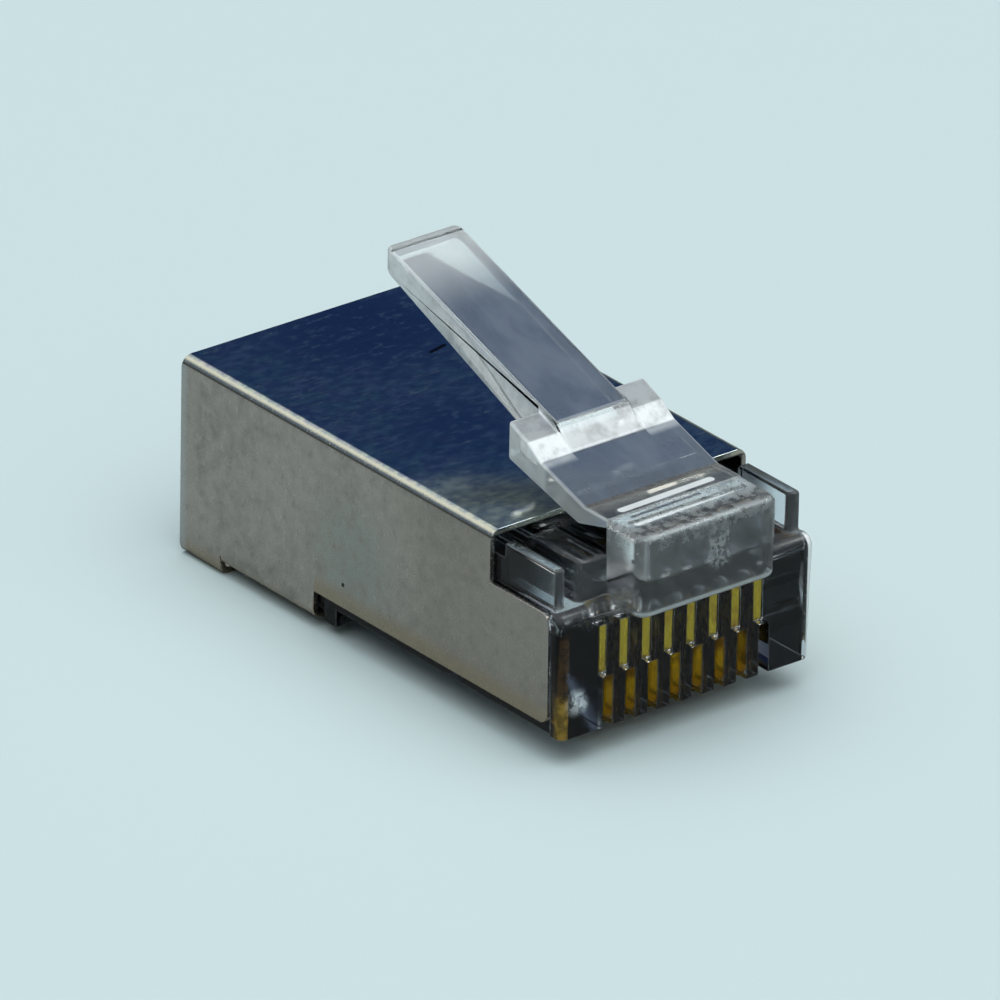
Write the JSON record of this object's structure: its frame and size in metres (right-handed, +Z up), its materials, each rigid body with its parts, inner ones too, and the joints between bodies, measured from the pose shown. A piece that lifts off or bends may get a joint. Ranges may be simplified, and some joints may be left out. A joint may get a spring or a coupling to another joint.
{
  "type": "shielded ethernet plug",
  "caption": "Shielded modular network plug: folded plated shell around a clear moulded housing with gold-plated blade contacts and a flexing latch.",
  "frame": {"origin": "centre of the bounding box's base, in the plane of the foot of the shell's rear collar", "axes": "+Z up through the latch, -Y towards the nose that enters the jack, +Y towards the cable, +X across the row of contacts"},
  "size_m": [0.0116, 0.0232, 0.0135],
  "materials": {
    "shell_plating": "nickel plated sheet, satin, lightly scratched",
    "clear_plastic": "clear, glossy, faintly green-grey",
    "gold_plating": "gold plated, smooth"
  },
  "bodies": {
    "plug": {"shield": "shell_plating", "housing": "clear_plastic", "contact_1": "gold_plating", "contact_2": "gold_plating", "contact_3": "gold_plating", "contact_4": "gold_plating", "contact_5": "gold_plating", "contact_6": "gold_plating", "contact_7": "gold_plating", "contact_8": "gold_plating"},
    "latch": {"latch": "clear_plastic"}
  },
  "joints": [
    {"name": "latch_flex", "type": "hinge", "parent": "plug", "child": "latch", "pos_m": [0, -0.00957, 0.00843], "axis": [-1, 0, 0], "range_deg": [0, 7.5], "stiffness_Nm_per_rad": 0.02}
  ]
}
